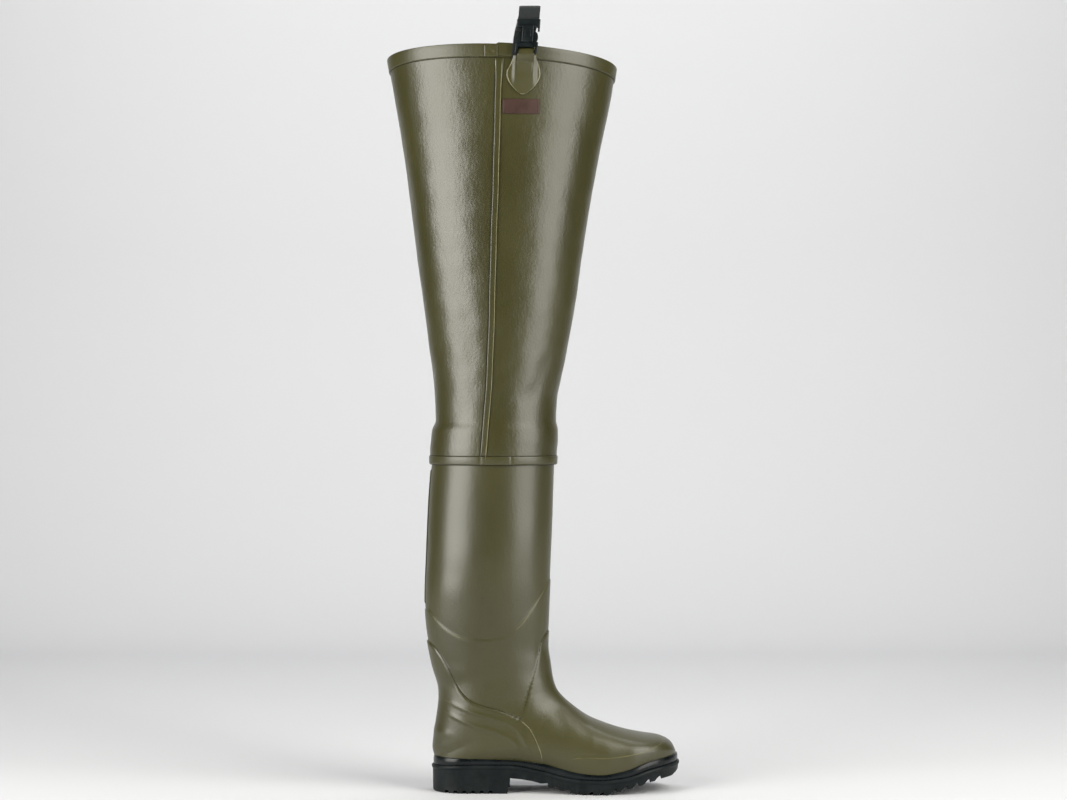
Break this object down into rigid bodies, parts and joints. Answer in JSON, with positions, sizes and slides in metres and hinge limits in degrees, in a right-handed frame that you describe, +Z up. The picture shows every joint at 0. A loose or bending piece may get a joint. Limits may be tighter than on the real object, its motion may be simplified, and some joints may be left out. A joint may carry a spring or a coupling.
{
  "type": "hip wader",
  "caption": "Right hip wader: an olive rubber boot with a thin thigh-high shaft, a taped knee joint, a black lugged sole and a buckled belt loop at the collar",
  "frame": {"origin": "on the floor under the middle of the heel, at the heel's resting face", "axes": "+X towards the toe, +Y to the inner side of this right leg, +Z up towards the collar"},
  "size_m": [0.3556, 0.1888, 0.937],
  "materials": {
    "black_rubber": "matte moulded black rubber",
    "black_gloss_rubber": "glossy black rubber foxing",
    "felt": "grey felt footbed",
    "olive_rubber": "satin olive rubber",
    "olive_thin_rubber": "satin olive rubber over cloth, fine grain",
    "brown_label": "plain dark brown plate",
    "black_webbing": "black woven webbing",
    "black_plastic": "satin black moulded plastic"
  },
  "bodies": {
    "root": {"outsole": "black_rubber", "midsole": "black_gloss_rubber", "insole": "felt", "upper": "olive_rubber", "back_strip": "olive_rubber", "thigh_shaft": "olive_thin_rubber", "knee_band": "olive_thin_rubber", "collar_binding": "olive_thin_rubber", "collar_lap": "olive_thin_rubber", "side_seam": "olive_thin_rubber", "strap_patch": "olive_rubber", "strap_tongue": "olive_rubber", "label_plate": "brown_label", "belt_webbing": "black_webbing", "buckle_female": "black_plastic", "buckle_male": "black_plastic"}
  },
  "joints": []
}
